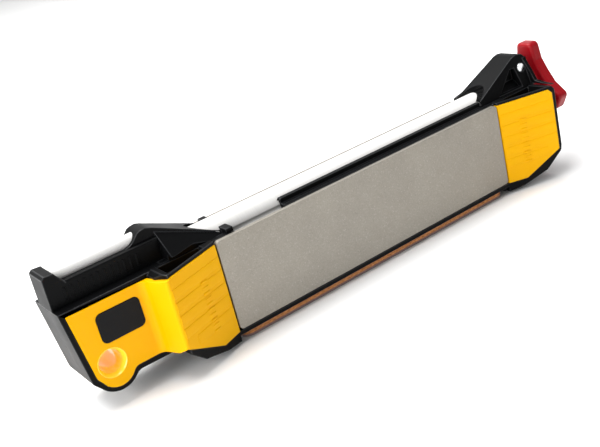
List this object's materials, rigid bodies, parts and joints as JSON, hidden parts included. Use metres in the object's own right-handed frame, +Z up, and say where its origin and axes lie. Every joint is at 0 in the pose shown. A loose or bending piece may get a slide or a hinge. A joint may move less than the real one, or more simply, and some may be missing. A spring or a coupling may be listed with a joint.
{
  "type": "guided knife sharpener",
  "caption": "Hand-held guided sharpener: grinding plates on both faces between angled ramps, a turning ceramic rod with a lobed knob, a small serration rod and a leather strop.",
  "frame": {"origin": "centre of the overall box, on the strop's face that the tool stands on", "axes": "+X along the tool from the handle to the knob, +Y across it from the front plate to the rear plate, +Z up from the strop to the ceramic rod"},
  "size_m": [0.1744, 0.0314, 0.0404],
  "materials": {
    "black_nylon": "satin moulded",
    "yellow_nylon": "satin to gloss moulded",
    "badge_black": "matte",
    "white_ceramic": "fine ground",
    "strop_leather": "smooth grain down, cut edges",
    "foam_tape": "matte",
    "diamond_plate": "diamond grit in nickel, matte",
    "magnet_nickel": "nickel plated",
    "zinc_steel": "polished",
    "red_plastic": "gloss moulded"
  },
  "bodies": {
    "body": {"front_shell": "black_nylon", "rear_shell": "black_nylon", "spine": "black_nylon", "rod_guide_left": "black_nylon", "rod_guide_right": "black_nylon", "front_handle_cover": "yellow_nylon", "rear_handle_cover": "yellow_nylon", "front_tip_guide": "yellow_nylon", "rear_tip_guide": "yellow_nylon", "front_badge": "badge_black", "rear_badge": "badge_black", "serration_rod": "white_ceramic", "strop": "strop_leather", "strop_pad": "foam_tape", "front_magnets": "magnet_nickel", "rear_magnets": "magnet_nickel", "body_screws": "zinc_steel", "retaining_pin": "zinc_steel", "detent_ball": "zinc_steel", "detent_spring": "zinc_steel", "lanyard_sleeve": "yellow_nylon"},
    "rod": {"ceramic_rod": "white_ceramic", "rod_hub": "black_nylon", "rod_knob": "red_plastic", "knob_screw": "zinc_steel"},
    "front_plate": {"front_plate": "diamond_plate"},
    "rear_plate": {"rear_plate": "diamond_plate"}
  },
  "joints": [
    {"name": "rod_turn", "type": "hinge", "parent": "body", "child": "rod", "pos_m": [0, 0, 0.0276], "axis": [1, 0, 0], "continuous": true},
    {"name": "front_plate_lift", "type": "slide", "parent": "body", "child": "front_plate", "axis": [0, -1, 0], "range_m": [0, 0.03]},
    {"name": "rear_plate_lift", "type": "slide", "parent": "body", "child": "rear_plate", "axis": [0, 1, 0], "range_m": [0, 0.03]}
  ]
}
